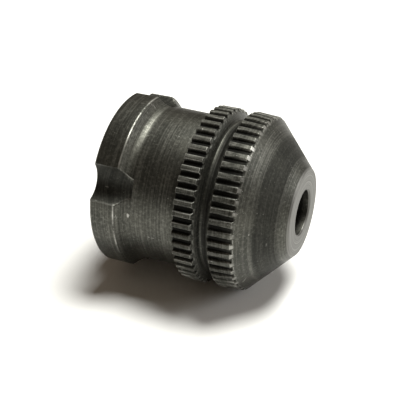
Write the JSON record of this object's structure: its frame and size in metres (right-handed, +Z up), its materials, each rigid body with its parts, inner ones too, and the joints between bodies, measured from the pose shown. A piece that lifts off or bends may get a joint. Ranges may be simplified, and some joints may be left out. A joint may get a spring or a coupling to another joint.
{
  "type": "keyless drill chuck",
  "caption": "Small keyless drill chuck: knurled cone-nosed hood with wrench flutes that turns on a tapped hub and closes jaws through a drive screw.",
  "frame": {"origin": "mouth of the spindle thread, at the centre of the hub's rear face", "axes": "+X along the spindle axis to the nose, +Z up"},
  "size_m": [0.0291, 0.0254, 0.0254],
  "materials": {
    "blackened_steel": "black oxide over fine turning marks, worn bright at the edges",
    "blackened_hub": "black oxide, finely turned",
    "hardened_steel": "heat-treated grey steel",
    "ground_steel": "fine ground steel",
    "jaw_steel": "hardened and ground",
    "ball_steel": "polished bearing steel",
    "cage_brass": "pressed brass",
    "seal_rubber": "moulded rubber",
    "cover_steel": "black oxide sheet",
    "spring_steel": "oil-tempered spring steel"
  },
  "bodies": {
    "hub": {"hub": "blackened_hub", "front_race": "ground_steel"},
    "hood": {"hood": "blackened_steel", "jaw_guide": "hardened_steel", "guide_pin_1": "ground_steel", "guide_pin_2": "ground_steel", "guide_pin_3": "ground_steel", "rear_race": "ground_steel", "retaining_ring": "hardened_steel", "lock_screw": "hardened_steel", "dust_seal": "seal_rubber", "rear_cover": "cover_steel", "snap_ring": "spring_steel"},
    "balls": {"ball_cage": "cage_brass", "ball_01": "ball_steel", "ball_02": "ball_steel", "ball_03": "ball_steel", "ball_04": "ball_steel", "ball_05": "ball_steel", "ball_06": "ball_steel", "ball_07": "ball_steel", "ball_08": "ball_steel", "ball_09": "ball_steel", "ball_10": "ball_steel", "ball_11": "ball_steel", "ball_12": "ball_steel", "ball_13": "ball_steel", "ball_14": "ball_steel", "ball_15": "ball_steel", "ball_16": "ball_steel"},
    "drive_screw": {"drive_screw": "ground_steel"},
    "jaw_1": {"jaw_1": "jaw_steel"},
    "jaw_2": {"jaw_2": "jaw_steel"},
    "jaw_3": {"jaw_3": "jaw_steel"}
  },
  "joints": [
    {"name": "hood_turn", "type": "hinge", "parent": "hub", "child": "hood", "pos_m": [0, 0, 0], "axis": [-1, 0, 0], "range_deg": [0, 1335.27]},
    {"name": "ball_roll", "type": "hinge", "parent": "hub", "child": "balls", "pos_m": [0, 0, 0], "axis": [-1, 0, 0], "range_deg": [0, 668.14]},
    {"name": "screw_feed", "type": "slide", "parent": "hood", "child": "drive_screw", "axis": [1, 0, 0], "range_m": [0, 0.00371]},
    {"name": "jaw_1_slide", "type": "slide", "parent": "hood", "child": "jaw_1", "axis": [0.9397, 0, -0.342], "range_m": [0, 0.00395]},
    {"name": "jaw_2_slide", "type": "slide", "parent": "hood", "child": "jaw_2", "axis": [0.9397, 0.2962, 0.171], "range_m": [0, 0.00395]},
    {"name": "jaw_3_slide", "type": "slide", "parent": "hood", "child": "jaw_3", "axis": [0.9397, -0.2962, 0.171], "range_m": [0, 0.00395]}
  ],
  "couplings": [
    {"joint": "ball_roll", "follows": "hood_turn", "ratio": 0.5},
    {"joint": "screw_feed", "follows": "hood_turn", "m_per_rad": 0.00015915},
    {"joint": "jaw_1_slide", "follows": "hood_turn", "m_per_rad": 0.00016937},
    {"joint": "jaw_2_slide", "follows": "hood_turn", "m_per_rad": 0.00016937},
    {"joint": "jaw_3_slide", "follows": "hood_turn", "m_per_rad": 0.00016937}
  ]
}
